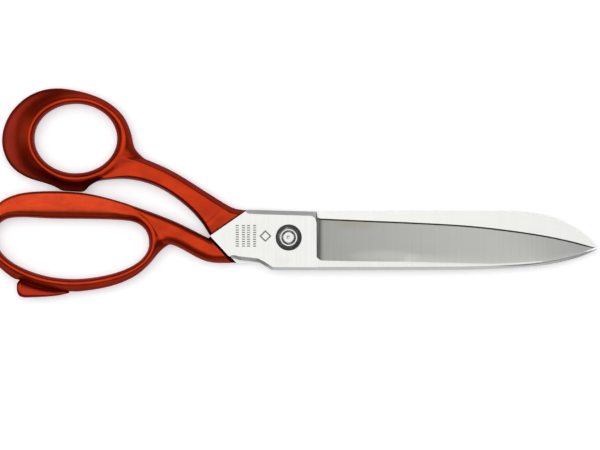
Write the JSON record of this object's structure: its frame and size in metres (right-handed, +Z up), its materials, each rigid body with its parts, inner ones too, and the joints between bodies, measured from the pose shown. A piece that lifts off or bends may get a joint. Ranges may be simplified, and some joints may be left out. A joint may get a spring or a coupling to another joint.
{
  "type": "fabric shears",
  "caption": "Heavy tailor's shears with long bevelled steel blades, offset lacquered bows, a finger-bow foot and a hex-nut pivot, closed and lying flat.",
  "frame": {"origin": "on the pivot axis, in the plane that the closed shears rest on", "axes": "+X towards the blade tips, +Y towards the thumb bow, +Z up along the pivot towards the nut"},
  "size_m": [0.2548, 0.0874, 0.0135],
  "materials": {
    "blade_steel": "satin",
    "lacquer": "gloss",
    "screw_steel": "polished",
    "spring_steel": "satin"
  },
  "bodies": {
    "finger_half": {"finger_blade": "blade_steel", "finger_handle": "lacquer", "pivot_screw": "screw_steel", "spring_washer": "spring_steel", "pivot_nut": "screw_steel"},
    "thumb_half": {"thumb_blade": "blade_steel", "thumb_handle": "lacquer"}
  },
  "joints": [
    {"name": "pivot", "type": "hinge", "parent": "finger_half", "child": "thumb_half", "pos_m": [0, 0, 0], "axis": [0, 0, -1], "range_deg": [0, 110]}
  ]
}
